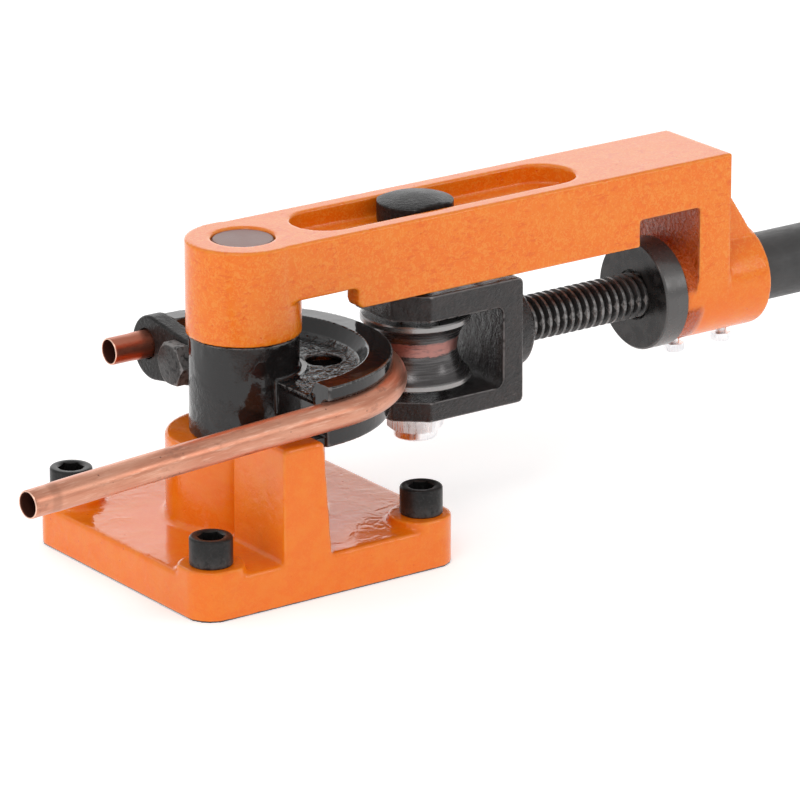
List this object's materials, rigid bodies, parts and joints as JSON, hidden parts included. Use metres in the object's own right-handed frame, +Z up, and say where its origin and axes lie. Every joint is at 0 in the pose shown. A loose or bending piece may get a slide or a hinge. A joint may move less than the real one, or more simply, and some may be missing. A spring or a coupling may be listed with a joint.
{
  "type": "manual tube bender",
  "caption": "Bench-mounted manual tube bender with a cast base, fixed grooved die, swinging arm and a screw-adjusted roller, with a copper tube in the die.",
  "frame": {"origin": "on the pivot axis, at the underside of the base plate", "axes": "+Z up along the pivot pin, +X along the swinging arm towards the handle at rest, -Y towards the side with the stop rib"},
  "size_m": [0.6998, 0.1542, 0.1545],
  "materials": {
    "orange_enamel": "gloss",
    "black_enamel": "gloss",
    "black_oxide_steel": "satin",
    "ground_steel": "satin",
    "roller_steel": "satin",
    "zinc_plate": "bright",
    "bronze": "satin",
    "copper": "satin",
    "black_handle": "semi-gloss",
    "black_plastic": "matte"
  },
  "bodies": {
    "bench_unit": {"base_casting": "orange_enamel", "bench_screw_1": "black_oxide_steel", "bench_screw_2": "black_oxide_steel", "bench_screw_3": "black_oxide_steel", "bench_screw_4": "black_oxide_steel", "pivot_pin": "ground_steel", "bending_die": "black_enamel", "tube_clamp": "black_oxide_steel", "clamp_bolt": "black_oxide_steel", "copper_tube": "copper"},
    "arm": {"arm_casting": "orange_enamel", "pivot_bush": "bronze", "handle_tube": "black_handle", "handle_plug": "black_plastic", "handle_screw_1": "zinc_plate", "handle_screw_2": "zinc_plate"},
    "yoke": {"roller_yoke": "black_enamel", "adjusting_screw": "black_oxide_steel", "screw_lock_pin": "black_oxide_steel", "roller_bolt": "black_oxide_steel", "roller_nut": "zinc_plate", "roller_shim_lower": "zinc_plate", "roller_shim_upper": "zinc_plate"},
    "roller": {"grooved_roller": "roller_steel", "roller_bush": "bronze"},
    "wheel": {"adjusting_wheel": "black_oxide_steel"}
  },
  "joints": [
    {"name": "arm_swing", "type": "hinge", "parent": "bench_unit", "child": "arm", "pos_m": [0, 0, 0.11], "axis": [0, 0, 1], "range_deg": [-75, 75]},
    {"name": "adjuster_turn", "type": "hinge", "parent": "arm", "child": "wheel", "pos_m": [0.2096, 0, 0.0744], "axis": [1, 0, 0], "range_deg": [-5050, 0]},
    {"name": "yoke_slide", "type": "slide", "parent": "arm", "child": "yoke", "axis": [1, 0, 0], "range_m": [0, 0.056]},
    {"name": "roller_spin", "type": "hinge", "parent": "yoke", "child": "roller", "pos_m": [0.0873, 0, 0.0744], "axis": [0, 0, 1], "continuous": true}
  ],
  "couplings": [
    {"joint": "adjuster_turn", "follows": "yoke_slide", "rad_per_m": -1570.8}
  ]
}
